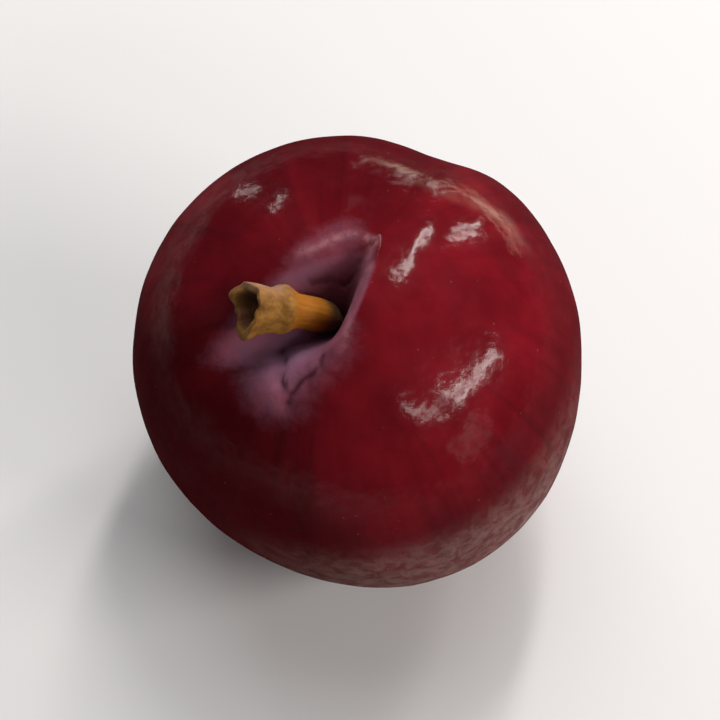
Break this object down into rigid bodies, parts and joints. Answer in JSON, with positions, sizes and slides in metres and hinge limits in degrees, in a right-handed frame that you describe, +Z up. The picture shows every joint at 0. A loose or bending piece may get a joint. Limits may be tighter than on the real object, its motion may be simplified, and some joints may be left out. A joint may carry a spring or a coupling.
{
  "type": "plum",
  "caption": "Ripe dark red plum resting on a small flat spot, with a deep stem pit under a swollen cheek, a shallow suture and a short woody stem.",
  "frame": {"origin": "middle of the small flat spot on the underside that the plum rests on", "axes": "+Z up from the surface it rests on; the suture faces between +X and +Y, 66 degrees round from +X; the stem leans over towards -X and -Y"},
  "size_m": [0.0455, 0.046, 0.0425],
  "materials": {
    "skin": "glossy waxy skin with a violet-grey bloom in the stem pit",
    "stem": "dry fibrous bark"
  },
  "bodies": {
    "root": {"fruit": "skin", "stem": "stem"}
  },
  "joints": []
}
